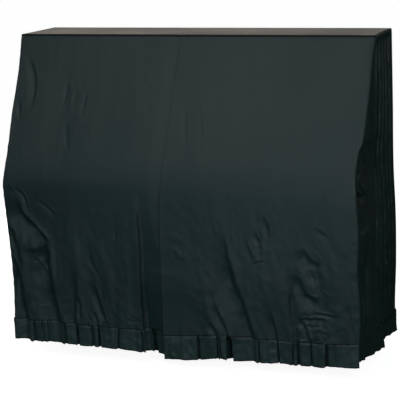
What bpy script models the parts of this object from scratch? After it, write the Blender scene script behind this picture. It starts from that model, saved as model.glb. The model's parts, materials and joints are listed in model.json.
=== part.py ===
"""Fitted full-length cover for an upright piano, hollow, with a pleated skirt.

Frame: metres, +Z up, +X along the keyboard towards the treble end, the keyboard side faces -Y.
The origin is the centre of the flat underside of the top panel, where it rests on the piano's lid,
so the cloth hangs below it. A drop is a distance down from there, positive.
"""
import bmesh
import bpy

# ---- driving dimensions (metres) ----
WIDTH = 1.525            # outside, along the top
TOP_DEPTH = 0.310        # top panel, front to back
KEY_DROP = 0.575         # top down to the bend over the keyboard's front edge
SEAM_DROP = 1.182        # top down to the seam that holds the skirt
CLOTH = 0.0016           # thickness of every sheet
GAP = 0.0005             # clear space between neighbouring sheets
TUCK = 0.055             # left front panel carried on behind the right one
Y_BACK = TOP_DEPTH / 2

# front profile: drop, y of the cloth
FRONT_PROFILE = (
    (0.000, -0.155),
    (0.150, -0.226),
    (0.300, -0.296),
    (0.420, -0.351),
    (0.500, -0.387),
    (0.545, -0.404),
    (KEY_DROP, -0.412),
    (0.620, -0.413),
    (0.750, -0.406),
    (0.900, -0.399),
    (1.050, -0.391),
    (1.300, -0.381),
)
# front corners: drop, x of the left one, x of the right one (the right one is pulled in at the bend)
FRONT_CORNERS = (
    (0.000, -0.760, 0.764),
    (0.085, -0.752, 0.759),
    (0.180, -0.748, 0.760),
    (0.300, -0.749, 0.757),
    (0.390, -0.746, 0.752),
    (0.425, -0.745, 0.740),
    (0.520, -0.746, 0.737),
    (0.575, -0.751, 0.743),
    (0.660, -0.755, 0.748),
    (0.760, -0.751, 0.751),
    (0.890, -0.745, 0.744),
    (1.030, -0.743, 0.752),
    (1.170, -0.749, 0.748),
    (1.280, -0.755, 0.741),
)
# back corners: drop, x of the left one, x of the right one
BACK_CORNERS = (
    (0.000, -0.758, 0.756),
    (0.300, -0.757, 0.760),
    (0.550, -0.760, 0.762),
    (0.770, -0.768, 0.771),
    (0.970, -0.770, 0.772),
    (1.180, -0.764, 0.767),
    (1.280, -0.772, 0.778),
)
# free edge of the right front panel, over the left one: drop, x
SLIT = (
    (0.000, -0.041),
    (0.200, -0.043),
    (0.400, -0.046),
    (0.550, -0.050),
    (0.650, -0.057),
    (0.770, -0.064),
    (1.000, -0.068),
    (1.150, -0.071),
    (1.300, -0.073),
)
# skirt seam and skirt hem along the front: x, seam drop, hem drop
LEFT_HEM = (
    (-0.755, 1.178, 1.264),
    (-0.600, 1.175, 1.270),
    (-0.400, 1.181, 1.273),
    (-0.200, 1.183, 1.278),
    (-0.073, 1.182, 1.286),
    (0.000, 1.182, 1.286),
)
RIGHT_HEM = (
    (-0.075, 1.200, 1.300),
    (0.070, 1.189, 1.292),
    (0.165, 1.181, 1.279),
    (0.235, 1.184, 1.287),
    (0.400, 1.182, 1.280),
    (0.550, 1.184, 1.283),
    (0.650, 1.181, 1.275),
    (0.745, 1.172, 1.270),
)
# the same along the right end, the left end and the back: y or x, seam drop, hem drop
RIGHT_END_HEM = (
    (-0.385, 1.168, 1.246),
    (-0.255, 1.180, 1.266),
    (-0.040, 1.186, 1.286),
    (-0.020, 1.186, 1.274),
    (0.155, 1.180, 1.269),
)
LEFT_END_HEM = (
    (-0.385, 1.176, 1.262),
    (-0.200, 1.180, 1.272),
    (0.000, 1.183, 1.268),
    (0.155, 1.180, 1.272),
)
BACK_HEM = (
    (-0.775, 1.180, 1.272),
    (-0.300, 1.184, 1.278),
    (0.200, 1.181, 1.274),
    (0.775, 1.180, 1.269),
)
# folds on the front: x and drop of one end, x and drop of the other, half width, height (in is minus)
FRONT_FOLDS = (
    (-0.694, 0.652, -0.649, 0.744, 0.022, -0.010),
    (-0.649, 0.744, -0.562, 0.825, 0.024, -0.014),
    (-0.562, 0.825, -0.560, 0.989, 0.022, -0.010),
    (-0.560, 0.989, -0.520, 1.190, 0.022, -0.009),
    (-0.600, 0.640, -0.496, 0.736, 0.036, 0.007),
    (-0.640, 0.830, -0.620, 1.150, 0.034, 0.007),
    (-0.714, 0.820, -0.719, 0.933, 0.020, -0.008),
    (-0.719, 0.933, -0.712, 1.042, 0.020, -0.009),
    (-0.712, 1.042, -0.690, 1.190, 0.022, -0.008),
    (-0.437, 0.946, -0.455, 1.051, 0.022, -0.005),
    (-0.455, 1.051, -0.460, 1.190, 0.024, -0.006),
    (-0.368, 0.891, -0.324, 1.150, 0.028, -0.004),
    (-0.235, 0.760, -0.215, 1.110, 0.030, 0.004),
    (-0.698, 0.105, -0.655, 0.200, 0.030, -0.006),
    (-0.655, 0.200, -0.658, 0.300, 0.030, -0.006),
    (-0.718, 0.268, -0.703, 0.334, 0.026, -0.005),
    (-0.496, 0.209, -0.509, 0.264, 0.030, -0.004),
    (-0.477, 0.364, -0.466, 0.437, 0.032, -0.004),
    (0.221, 0.762, 0.244, 0.905, 0.030, -0.006),
    (0.244, 0.905, 0.280, 0.977, 0.030, -0.008),
    (0.280, 0.977, 0.321, 1.190, 0.030, -0.007),
    (0.372, 0.760, 0.392, 1.120, 0.040, 0.005),
    (0.337, 0.740, 0.372, 0.811, 0.026, -0.004),
    (0.541, 0.818, 0.591, 0.857, 0.024, -0.007),
    (0.556, 0.873, 0.582, 0.932, 0.024, -0.006),
    (0.506, 0.911, 0.521, 0.973, 0.024, -0.007),
    (0.521, 0.973, 0.580, 0.998, 0.024, -0.006),
    (0.475, 0.939, 0.480, 1.095, 0.024, -0.007),
    (0.480, 1.095, 0.486, 1.190, 0.024, -0.007),
    (0.173, 1.080, 0.198, 1.190, 0.026, -0.008),
    (0.560, 1.064, 0.656, 1.076, 0.030, 0.005),
    (0.100, 0.200, 0.104, 0.340, 0.040, -0.004),
    (0.300, 0.120, 0.330, 0.420, 0.060, 0.004),
    (0.690, 0.330, 0.715, 0.450, 0.022, -0.006),
)
# folds on the right end, gathered towards the rear: y and drop, y and drop, half width, height
RIGHT_FOLDS = (
    (-0.104, 0.020, -0.112, 1.190, 0.016, -0.011),
    (-0.074, 0.040, -0.080, 1.190, 0.016, 0.008),
    (-0.044, 0.020, -0.050, 1.190, 0.015, -0.010),
    (-0.010, 0.050, -0.012, 1.190, 0.018, 0.009),
    (0.032, 0.020, 0.036, 1.190, 0.017, -0.012),
    (0.066, 0.040, 0.066, 1.190, 0.016, 0.008),
    (0.098, 0.020, 0.094, 1.190, 0.015, -0.010),
    (0.126, 0.060, 0.124, 1.190, 0.014, 0.007),
    (-0.300, 0.420, -0.160, 0.330, 0.030, -0.005),
    (-0.370, 0.680, -0.225, 0.707, 0.026, -0.007),
    (-0.250, 0.800, -0.270, 1.190, 0.045, -0.008),
)
# folds on the left end, guessed softer, and on the back
LEFT_FOLDS = (
    (-0.060, 0.020, -0.080, 1.190, 0.026, -0.008),
    (0.020, 0.040, 0.015, 1.190, 0.030, 0.007),
    (0.085, 0.020, 0.080, 1.190, 0.024, -0.009),
    (-0.270, 0.700, -0.250, 1.190, 0.050, -0.008),
)
BACK_FOLDS = (
    (-0.520, 0.200, -0.500, 1.190, 0.070, 0.007),
    (-0.260, 0.100, -0.300, 1.190, 0.080, -0.007),
    (0.060, 0.300, 0.040, 1.190, 0.070, 0.008),
    (0.360, 0.150, 0.400, 1.190, 0.080, -0.008),
    (0.600, 0.300, 0.610, 1.190, 0.060, 0.006),
)
# broad sag between the lid and the keyboard and below it: x, drop, half width, half height, in or out
FRONT_SWELLS = (
    (-0.400, 0.280, 0.260, 0.200, -0.006),
    (0.380, 0.260, 0.300, 0.200, -0.006),
    (-0.560, 0.900, 0.140, 0.260, 0.006),
    (-0.330, 0.980, 0.110, 0.280, -0.006),
    (0.120, 0.950, 0.110, 0.300, 0.006),
    (0.420, 0.950, 0.090, 0.260, 0.005),
    (0.640, 0.980, 0.090, 0.260, -0.006),
)
# pleats: where the fold's edge is, how far the cloth laps under, the space between its layers' centres
FRONT_LEFT_PLEATS = (
    (-0.657, 0.014, 0.0026),
    (-0.596, 0.016, 0.0026),
    (-0.523, 0.014, 0.0026),
    (-0.464, 0.015, 0.0026),
    (-0.380, 0.018, 0.0028),
    (-0.272, 0.014, 0.0026),
    (-0.172, 0.014, 0.0026),
    (-0.128, 0.016, 0.0028),
)
FRONT_RIGHT_PLEATS = (
    (0.072, 0.015, 0.0026),
    (0.162, 0.020, 0.0032),
    (0.204, 0.016, 0.0030),
    (0.331, 0.014, 0.0026),
    (0.408, 0.014, 0.0026),
    (0.476, 0.016, 0.0028),
    (0.542, 0.014, 0.0026),
    (0.612, 0.018, 0.0032),
)
RIGHT_END_PLEATS = (
    (-0.290, 0.014, 0.0026),
    (-0.170, 0.015, 0.0026),
    (-0.036, 0.024, 0.0100),
)
LEFT_END_PLEATS = (
    (-0.280, 0.014, 0.0026),
    (-0.150, 0.015, 0.0026),
    (-0.020, 0.014, 0.0026),
)
BACK_PLEATS = (
    (-0.590, 0.014, 0.0026),
    (-0.370, 0.015, 0.0026),
    (-0.130, 0.014, 0.0026),
    (0.110, 0.016, 0.0026),
    (0.330, 0.014, 0.0026),
    (0.560, 0.015, 0.0026),
)
# rows of the sheets, as drops, closer together at the bend and where the cloth creases
WALL_ROWS = (
    0.0, 0.08, 0.16, 0.24, 0.32, 0.38, 0.42, 0.47, 0.52, 0.55, 0.58, 0.62,
    0.68, 0.74, 0.80, 0.86, 0.92, 0.99, 1.08, SEAM_DROP,
)
BACK_ROWS = (0.0, 0.16, 0.32, 0.47, 0.62, 0.80, 0.98, SEAM_DROP)
# columns of the sheets, as shares of the way across
LEFT_COLUMNS = (
    0.0, 0.033, 0.062, 0.092, 0.122, 0.152, 0.184, 0.214, 0.244, 0.276, 0.312, 0.352, 0.396,
    0.440, 0.500, 0.570, 0.650, 0.720, 0.795, 0.820, 0.846, 0.918, 0.934, 1.0,
)
RIGHT_COLUMNS = (
    0.0, 0.060, 0.120, 0.180, 0.240, 0.285, 0.322, 0.358, 0.394, 0.430, 0.470, 0.515,
    0.560, 0.600, 0.640, 0.672, 0.704, 0.736, 0.768, 0.805, 0.850, 0.900, 0.950, 1.0,
)
# columns of the ends: shares of the way from the front edge to where the gathers start, then y
END_FAN = (0.0, 0.30, 0.65)
RIGHT_END_STATIONS = (
    -0.124, -0.108, -0.093, -0.078, -0.062, -0.047, -0.029, -0.011, 0.011, 0.034, 0.050,
    0.066, 0.081, 0.096, 0.111, 0.125, Y_BACK - CLOTH - GAP,
)
LEFT_END_STATIONS = (-0.110, -0.070, -0.030, 0.018, 0.050, 0.083, 0.120, Y_BACK - CLOTH - GAP)
BACK_COLUMNS = (0.0, 0.08, 0.17, 0.25, 0.33, 0.42, 0.52, 0.60, 0.68, 0.76, 0.83, 0.90, 1.0)
TOP_COLUMNS = (0.0, 0.02, 0.16, 0.32, 0.48, 0.66, 0.82, 0.98, 1.0)
TOP_ROWS = (0.0, 0.06, 0.35, 0.65, 0.94, 1.0)
SKIRT_ROWS = (0.0, 0.5, 1.0)

# cloth colours (linear)
TOP_CLOTH = (0.115, 0.110, 0.095)
FRONT_CLOTH = (0.022, 0.030, 0.031)
END_CLOTH = (0.010, 0.015, 0.015)
SKIRT_CLOTH = (0.017, 0.023, 0.024)


def along(table, at, column=1):
    """Smooth value of a table's column between its rows, with level ends."""
    last = len(table) - 1
    if at <= table[0][0]:
        return table[0][column]
    if at >= table[last][0]:
        return table[last][column]
    row = max(k for k in range(last) if table[k][0] <= at)
    before, after = table[max(row - 1, 0)], table[min(row + 2, last)]
    low, high = table[row], table[row + 1]
    span = high[0] - low[0]
    share = (at - low[0]) / span
    slope_low = (high[column] - before[column]) / (high[0] - before[0]) * span
    slope_high = (after[column] - low[column]) / (after[0] - low[0]) * span
    return (
        (2 * share**3 - 3 * share**2 + 1) * low[column]
        + (share**3 - 2 * share**2 + share) * slope_low
        + (3 * share**2 - 2 * share**3) * high[column]
        + (share**3 - share**2) * slope_high
    )


def ease(value, start, end):
    """0 before start, 1 after end, smooth between."""
    share = min(max((value - start) / (end - start), 0.0), 1.0)
    return share * share * (3 - 2 * share)


def fold_height(folds, across, drop):
    """The highest ridge and the deepest trough that reach this point of a sheet."""
    ridge, trough = 0.0, 0.0
    for a0, d0, a1, d1, half_width, height in folds:
        run_a, run_d = a1 - a0, d1 - d0
        share = ((across - a0) * run_a + (drop - d0) * run_d) / (run_a**2 + run_d**2)
        share = min(max(share, 0.0), 1.0)
        away = ((across - a0 - share * run_a) ** 2 + (drop - d0 - share * run_d) ** 2) ** 0.5
        lift = height * 2.718281828 ** (-((away / half_width) ** 2))
        ridge = max(ridge, lift)
        trough = min(trough, lift)
    return ridge + trough


def swell_height(across, drop):
    total = 0.0
    for a0, d0, half_across, half_drop, height in FRONT_SWELLS:
        away = ((across - a0) / half_across) ** 2 + ((drop - d0) / half_drop) ** 2
        total += height * 2.718281828 ** (-away)
    return total


def held_flat(drop, top_run, at_seam):
    """Folds start at the top seam over top_run, and keep a share of their height at the skirt."""
    return ease(drop, 0.0, top_run) * (1 - (1 - at_seam) * ease(drop, 1.04, SEAM_DROP))


def front_point(x, drop):
    """A point of the front before any tuck; folds die out at the corners and the top seam."""
    left, right = along(FRONT_CORNERS, drop, 1), along(FRONT_CORNERS, drop, 2)
    calm = ease(x - left, 0.0, 0.030) * ease(right - x, 0.0, 0.030) * held_flat(drop, 0.05, 0.5)
    at = min(drop, SEAM_DROP)
    lift = calm * (fold_height(FRONT_FOLDS, x, at) + swell_height(x, at))
    return [x, along(FRONT_PROFILE, drop) - lift, -drop]


def end_point(side, y, drop):
    """A point of an end wall; side is +1 for the right end and -1 for the left."""
    column = 2 if side > 0 else 1
    y_front = along(FRONT_PROFILE, drop)
    share = min(max((y - y_front) / (Y_BACK - y_front), 0.0), 1.0)
    x_front = along(FRONT_CORNERS, drop, column) - side * CLOTH / 2
    x_back = along(BACK_CORNERS, drop, column) - side * CLOTH / 2
    calm = ease(y - y_front, 0.0, 0.030) * ease(Y_BACK - y, 0.0, 0.020) * held_flat(drop, 0.10, 0.4)
    folds = RIGHT_FOLDS if side > 0 else LEFT_FOLDS
    lift = calm * fold_height(folds, y, min(drop, SEAM_DROP))
    return [x_front + (x_back - x_front) * share + side * lift, y, -drop]


def back_point(x, drop):
    left, right = along(BACK_CORNERS, drop, 1), along(BACK_CORNERS, drop, 2)
    calm = ease(x - left, 0.0, 0.040) * ease(right - x, 0.0, 0.040) * held_flat(drop, 0.10, 0.4)
    lift = calm * fold_height(BACK_FOLDS, x, min(drop, SEAM_DROP))
    return [x, Y_BACK + lift, -drop]


def tuck_depth(x, drop):
    """How far the left front panel lies behind the surface near the opening."""
    slit = along(SLIT, drop)
    under = ease(x, slit - 0.012, slit - 0.001) * 0.0042
    step = ease(x, -0.170, -0.146) * ease(drop, 0.62, 0.76) * 0.013
    return max(under, step)


def seamed(drop, seam):
    """Drop of a wall's row, its lowest rows following the skirt seam."""
    return drop + (seam - SEAM_DROP) * ease(drop, 0.85, SEAM_DROP)


def new_material(name, colour):
    material = bpy.data.materials.new(name)
    material.use_nodes = True
    shader = material.node_tree.nodes["Principled BSDF"]
    shader.inputs["Base Color"].default_value = (*colour, 1.0)
    shader.inputs["Roughness"].default_value = 0.62
    return material


def sheet(name, columns, rows, place, colour, offset=0.0):
    """A grid laid by place(column, row) and thickened to the cloth's thickness."""
    across, down = len(columns), len(rows)
    mesh = bpy.data.meshes.new(name)
    grid = bmesh.new()
    bmesh.ops.create_grid(grid, x_segments=across - 1, y_segments=down - 1, size=0.5)
    for vertex in grid.verts:
        column = columns[round((vertex.co.x + 0.5) * (across - 1))]
        row = rows[round((0.5 - vertex.co.y) * (down - 1))]
        vertex.co = place(column, row)
    grid.to_mesh(mesh)
    grid.free()
    piece = bpy.data.objects.new(name, mesh)
    cover.objects.link(piece)
    mesh.materials.append(new_material(name + "_cloth", colour))
    thick = piece.modifiers.new("thickness", "SOLIDIFY")
    thick.thickness = CLOTH
    thick.offset = offset
    thick.use_even_offset = True
    thick.use_quality_normals = True
    return piece


def span_to(line, end, longest):
    """Stations that run from the strip's last one out to the surface at end."""
    start, depth = line[-1]
    steps = max(1, round((end - start) / longest))
    shares = [(k + 1) / steps for k in range(steps)]
    return [(start + (end - start) * share, depth * (1 - share)) for share in shares]


def pleat_line(start, end, pleats, longest=0.080):
    """Stations of a knife-pleated strip: place along the wall and depth behind it."""
    line = [(start, 0.0)]
    for edge, lap, pitch in pleats:
        line += span_to(line, edge - pitch / 2, longest)
        line += [
            (edge, pitch / 2),
            (edge - pitch / 2, pitch),
            (edge - lap, pitch),
            (edge - lap - pitch / 2, 1.5 * pitch),
            (edge - lap, 2 * pitch),
            (edge + 0.004, 2 * pitch),
        ]
    return line + span_to(line, end, longest)


def skirt(name, line, place, hem_table):
    """A pleated strip from the seam down to its hem, its pleats easing open towards the hem."""

    def laid(station, share):
        along_wall, depth = station
        seam = along(hem_table, along_wall, 1)
        hem = along(hem_table, along_wall, 2)
        top = seam + GAP
        return place(along_wall, top + (hem - top) * share, depth * (1 + 0.25 * share), share)

    return sheet(name, line, SKIRT_ROWS, laid, SKIRT_CLOTH)


for old in list(bpy.data.objects):
    bpy.data.objects.remove(old, do_unlink=True)
cover = bpy.data.collections.new("piano_cover")
bpy.context.scene.collection.children.link(cover)

EDGE = CLOTH + GAP       # how far one sheet's edge stays behind the sheet that covers it
TOP_ROLL = 0.0006        # the top panel's border turns down this much towards its seams
BELOW_TOP = 0.0018       # drop of the walls' upper edges


def top_place(column, row):
    """The top panel, from its back edge forwards, its corners set by the walls."""
    y = Y_BACK + CLOTH / 2 - row * (TOP_DEPTH + CLOTH)
    left = BACK_CORNERS[0][1] + (FRONT_CORNERS[0][1] - BACK_CORNERS[0][1]) * row - CLOTH / 2
    right = BACK_CORNERS[0][2] + (FRONT_CORNERS[0][2] - BACK_CORNERS[0][2]) * row + CLOTH / 2
    at_edge = column in (0.0, 1.0) or row in (0.0, 1.0)
    return (left + (right - left) * column, y, -TOP_ROLL if at_edge else 0.0)


def left_place(column, row):
    drop = max(row, BELOW_TOP)
    for _ in range(3):
        left = along(FRONT_CORNERS, drop, 1)
        x = left + (along(SLIT, drop) + TUCK - left) * column
        drop = max(seamed(row, along(LEFT_HEM, x, 1) - GAP), BELOW_TOP)
    point = front_point(x, drop)
    point[1] += tuck_depth(x, drop)
    return point


def right_place(column, row):
    drop = max(row, BELOW_TOP)
    for _ in range(3):
        slit = along(SLIT, drop)
        x = slit + (along(FRONT_CORNERS, drop, 2) - slit) * column
        drop = max(seamed(row, along(RIGHT_HEM, x, 1) - GAP), BELOW_TOP)
    return front_point(x, drop)


def end_place(side, hem_table, stations):
    """Columns fan out from the front edge, then run straight down through the gathers."""

    def place(column, row):
        drop = max(row, BELOW_TOP)
        for _ in range(3):
            y_front = along(FRONT_PROFILE, drop) + EDGE
            y = column if column in stations else y_front + (stations[0] - y_front) * column
            drop = max(seamed(row, along(hem_table, y, 1) - GAP), BELOW_TOP)
        return end_point(side, y, drop)

    return place


def back_place(column, row):
    drop = max(row, BELOW_TOP)
    for _ in range(3):
        left = along(BACK_CORNERS, drop, 1)
        x = left + (along(BACK_CORNERS, drop, 2) - left) * column
        drop = max(seamed(row, along(BACK_HEM, x, 1) - GAP), BELOW_TOP)
    return back_point(x, drop)


def front_skirt_place(tucked):
    def place(x, drop, depth, share):
        point = front_point(x, drop)
        point[1] += depth + (tuck_depth(x, drop) if tucked else 0.0)
        return point

    return place


def end_skirt_place(side):
    def place(y, drop, depth, share):
        point = end_point(side, y, drop)
        point[0] -= side * depth
        return point

    return place


def back_skirt_place(x, drop, depth, share):
    point = back_point(x, drop)
    point[1] -= depth
    return point


# ---- top: a shallow flat strip over the lid ----
sheet("top_panel", TOP_COLUMNS, TOP_ROWS, top_place, TOP_CLOTH, offset=1.0)

# ---- front: two panels that overlap at the opening over the keyboard ----
sheet("front_left", LEFT_COLUMNS, WALL_ROWS, left_place, FRONT_CLOTH)
sheet("front_right", RIGHT_COLUMNS, WALL_ROWS, right_place, FRONT_CLOTH)

# ---- ends and back ----
sheet(
    "side_right",
    END_FAN + RIGHT_END_STATIONS,
    WALL_ROWS,
    end_place(1, RIGHT_END_HEM, RIGHT_END_STATIONS),
    END_CLOTH,
)
sheet(
    "side_left",
    END_FAN + LEFT_END_STATIONS,
    WALL_ROWS,
    end_place(-1, LEFT_END_HEM, LEFT_END_STATIONS),
    END_CLOTH,
)
sheet("back_panel", BACK_COLUMNS, BACK_ROWS, back_place, END_CLOTH)

# ---- pleated skirt, one strip under each panel, open at the corners ----
low_left, low_right = along(FRONT_CORNERS, 1.24, 1), along(FRONT_CORNERS, 1.24, 2)
low_slit = along(SLIT, 1.24)
low_front = along(FRONT_PROFILE, 1.24)
skirt(
    "skirt_front_left",
    pleat_line(low_left, low_slit + TUCK, FRONT_LEFT_PLEATS),
    front_skirt_place(True),
    LEFT_HEM,
)
skirt(
    "skirt_front_right",
    pleat_line(low_slit, low_right, FRONT_RIGHT_PLEATS),
    front_skirt_place(False),
    RIGHT_HEM,
)
skirt(
    "skirt_right",
    pleat_line(low_front + 0.010, Y_BACK - EDGE, RIGHT_END_PLEATS, 0.035),
    end_skirt_place(1),
    RIGHT_END_HEM,
)
skirt(
    "skirt_left",
    pleat_line(low_front + 0.010, Y_BACK - EDGE, LEFT_END_PLEATS),
    end_skirt_place(-1),
    LEFT_END_HEM,
)
skirt(
    "skirt_back",
    pleat_line(along(BACK_CORNERS, 1.24, 1), along(BACK_CORNERS, 1.24, 2), BACK_PLEATS),
    back_skirt_place,
    BACK_HEM,
)
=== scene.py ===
# %% [markdown]
# A full-length dust cover for an upright piano: thin, slightly crisp black taffeta, cut as a box
# with a sloping front, lapped open down the middle of the front, and finished with a narrow
# pleated skirt. Real ones are sewn from flat panels, so here too each panel is one flat sheet: a
# fine grid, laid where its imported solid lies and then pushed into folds.

import json
import math
import bmesh
import bpy
import numpy as np
from mathutils import Matrix, Vector

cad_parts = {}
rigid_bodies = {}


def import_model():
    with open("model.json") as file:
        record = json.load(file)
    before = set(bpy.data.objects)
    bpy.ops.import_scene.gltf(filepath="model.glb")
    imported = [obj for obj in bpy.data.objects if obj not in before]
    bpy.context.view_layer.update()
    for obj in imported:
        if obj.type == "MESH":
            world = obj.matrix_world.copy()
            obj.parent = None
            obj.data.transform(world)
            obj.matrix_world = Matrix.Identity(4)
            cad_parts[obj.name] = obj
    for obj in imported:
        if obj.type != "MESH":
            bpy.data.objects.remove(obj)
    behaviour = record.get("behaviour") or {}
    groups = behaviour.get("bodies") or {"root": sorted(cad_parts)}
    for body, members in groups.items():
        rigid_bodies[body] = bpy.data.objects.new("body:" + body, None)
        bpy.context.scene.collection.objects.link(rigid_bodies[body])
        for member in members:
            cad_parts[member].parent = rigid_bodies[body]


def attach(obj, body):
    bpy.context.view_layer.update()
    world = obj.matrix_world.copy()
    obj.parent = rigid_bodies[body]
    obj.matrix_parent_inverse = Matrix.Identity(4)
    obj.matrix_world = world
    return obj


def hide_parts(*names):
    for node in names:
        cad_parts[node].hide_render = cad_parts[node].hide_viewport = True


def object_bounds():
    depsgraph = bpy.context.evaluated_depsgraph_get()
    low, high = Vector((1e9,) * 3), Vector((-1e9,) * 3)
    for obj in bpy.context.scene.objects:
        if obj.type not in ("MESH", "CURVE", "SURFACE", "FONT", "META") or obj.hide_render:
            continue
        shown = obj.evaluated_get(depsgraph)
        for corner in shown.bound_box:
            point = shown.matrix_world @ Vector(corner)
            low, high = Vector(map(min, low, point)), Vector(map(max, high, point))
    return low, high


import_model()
cad_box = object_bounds()
print("packed model's box", cad_box)

# %% [markdown]
# The camera stands a little to the right and just above lid height, with a long lens, so the far
# edges hardly shrink. The floor is one pale plane. It is kept out of diffuse bounces, because a
# white floor would otherwise light the black cloth from below and flatten its folds. The plain
# Standard view shows a colour as its hex value says, which suits a nearly black cloth.

# %% camera and floor
FLOOR_GAP = 0.030                       # castors hold the hem this far off the floor
CAMERA_AT = (2.0672, -5.6724, 0.5385)   # metres, in the cover's frame
CAMERA_TURNS = ((20.357, "Z"), (78.325, "X"), (-1.730, "Z"))     # degrees, about its own axes
scene = bpy.context.scene
scene.view_settings.view_transform = "Standard"
lens = bpy.data.cameras.new("studio_camera")
lens.lens = 131.3
lens.sensor_width = 36.0
lens.clip_end = 200.0
camera = bpy.data.objects.new("studio_camera", lens)
scene.collection.objects.link(camera)
turns = [Matrix.Rotation(math.radians(degrees), 4, axis) for degrees, axis in CAMERA_TURNS]
camera.matrix_world = Matrix.Translation(CAMERA_AT) @ (turns[0] @ turns[1] @ turns[2])
scene.camera = camera


def to_linear(hex_colour):
    """An sRGB hex colour as linear RGBA."""
    parts = [int(hex_colour[k:k + 2], 16) / 255 for k in (1, 3, 5)]
    lit = [c / 12.92 if c <= 0.04045 else ((c + 0.055) / 1.055) ** 2.4 for c in parts]
    return (*lit, 1.0)


def add_node(tree, kind, settings=None, sockets=None, links=None):
    """Add a node, set its properties and sockets, and link other nodes' outputs to its inputs."""
    node = tree.nodes.new(kind)
    for key, value in (settings or {}).items():
        setattr(node, key, value)
    for key, value in (sockets or {}).items():
        node.inputs[key].default_value = value
    for key, source in (links or {}).items():
        tree.links.new(source, node.inputs[key])
    return node


floor_level = cad_box[0][2] - FLOOR_GAP
floor_mesh = bpy.data.meshes.new("pale_floor")
flat = bmesh.new()
bmesh.ops.create_grid(flat, x_segments=1, y_segments=1, size=60.0)
bmesh.ops.translate(flat, verts=flat.verts, vec=(0.0, 0.0, floor_level))
flat.to_mesh(floor_mesh)
flat.free()
floor = bpy.data.objects.new("pale_floor", floor_mesh)
scene.collection.objects.link(floor)
floor_paint = bpy.data.materials.new("pale_studio_floor")
floor_paint.use_nodes = True
floor_shader = floor_paint.node_tree.nodes["Principled BSDF"]
floor_shader.inputs["Base Color"].default_value = to_linear("#c8c8c8")
floor_shader.inputs["Roughness"].default_value = 0.9
floor_shader.inputs["Specular IOR Level"].default_value = 0.0
floor_shader.inputs["Emission Color"].default_value = (1.0, 1.0, 1.0, 1.0)
floor_shader.inputs["Emission Strength"].default_value = 0.92
floor_mesh.materials.append(floor_paint)
floor.visible_diffuse = False
floor.visible_glossy = False
print("floor at", round(floor_level, 4))

# %% [markdown]
# Taffeta shows its folds by where it stops shining. Two soft boxes lie where the flat front mirrors
# them towards the camera, a high one for the sloping part and a low one for the upright part, so
# that every turned flank falls dark. A weaker one from the right keeps the flanks that face it as
# light as the flat cloth. One above fills in, one behind is there only for the top, which is seen
# at a glancing angle, and one lights the back and the left end for anyone who walks round.

# %% lights
def soft_box(name, place, target, size, power, colour):
    """A rectangular lamp that points from its place to its target and that the camera can't see."""
    light = bpy.data.lights.new(name, "AREA")
    light.shape = "RECTANGLE"
    light.size, light.size_y = size
    light.energy = power
    light.color = to_linear(colour)[:3]
    lamp = bpy.data.objects.new(name, light)
    scene.collection.objects.link(lamp)
    facing = (Vector(target) - Vector(place)).to_track_quat("-Z", "Y")
    lamp.matrix_world = Matrix.Translation(place) @ facing.to_matrix().to_4x4()
    lamp.visible_camera = False


soft_box("high_soft_box", (-0.8, -2.7, 1.6), (0.0, -0.3, -0.4), (1.4, 0.8), 5.5, "#f8fdff")
soft_box("low_soft_box", (-0.1, -2.9, -1.0), (0.1, -0.4, -0.9), (1.4, 0.5), 5.2, "#e2fbff")
soft_box("overhead_soft_box", (-0.6, -1.9, 2.6), (0.1, -0.3, -0.6), (0.7, 0.7), 8, "#fff8f4")
soft_box("right_soft_box", (1.6, -2.2, -0.1), (0.1, -0.4, -0.6), (0.7, 0.7), 8, "#f8fdff")
soft_box("back_soft_box", (-1.3, 3.4, 0.7), (0.0, 0.0, -0.1), (3.0, 1.1), 12.5, "#fff3e0")
soft_box("rear_fill_box", (-2.4, 2.2, -0.5), (-0.4, 0.1, -0.7), (1.2, 0.8), 26, "#f6fbff")
world = bpy.data.worlds.new("studio_air")
world.use_nodes = True
air = world.node_tree
way = add_node(air, "ShaderNodeTexCoord").outputs["Generated"]
way = add_node(air, "ShaderNodeSeparateXYZ", None, None, {"Vector": way}).outputs["Z"]
height = add_node(
    air, "ShaderNodeMapRange", None, {"From Min": -0.25, "From Max": 0.45}, {"Value": way}
)
add_node(
    air, "ShaderNodeMix", {"data_type": "RGBA"},
    {"A": (0.018, 0.022, 0.022, 1.0), "B": (0.118, 0.126, 0.124, 1.0)},
    {"Factor": height.outputs["Result"]},
)
air.links.new(air.nodes["Mix"].outputs["Result"], air.nodes["Background"].inputs["Color"])
scene.world = world
print("lights ready")

# %% [markdown]
# Black nylon taffeta is a plain weave of fine, slightly uneven threads. Its dye is nearly black,
# but its smooth threads have a soft gloss, so it looks grey-green wherever it mirrors a lamp and
# dark where it turns away. The weave is drawn four times coarser than its 0.3 mm threads, so that
# it can show at all.

# %% cloth material
THREAD = 0.0012          # metres between drawn threads
STITCH = 0.0036          # metres from stitch to stitch
STITCH_IN = 0.006        # metres from a sewn edge to its line of stitches
PAINTED_SEAM_SHADE_WIDTH = 0.0030         # width of the painted seam shade: cloth this near every sewn edge is drawn nearly black, metres
CLOUDS = 2.6             # slow patches of wear and handling, about this many a metre
SLUBS = (420.0, 26.0, 1.0)            # thick places in the threads, a metre across and along
CRINKLE = 38.0           # small dents of handling, about this many a metre


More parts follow.
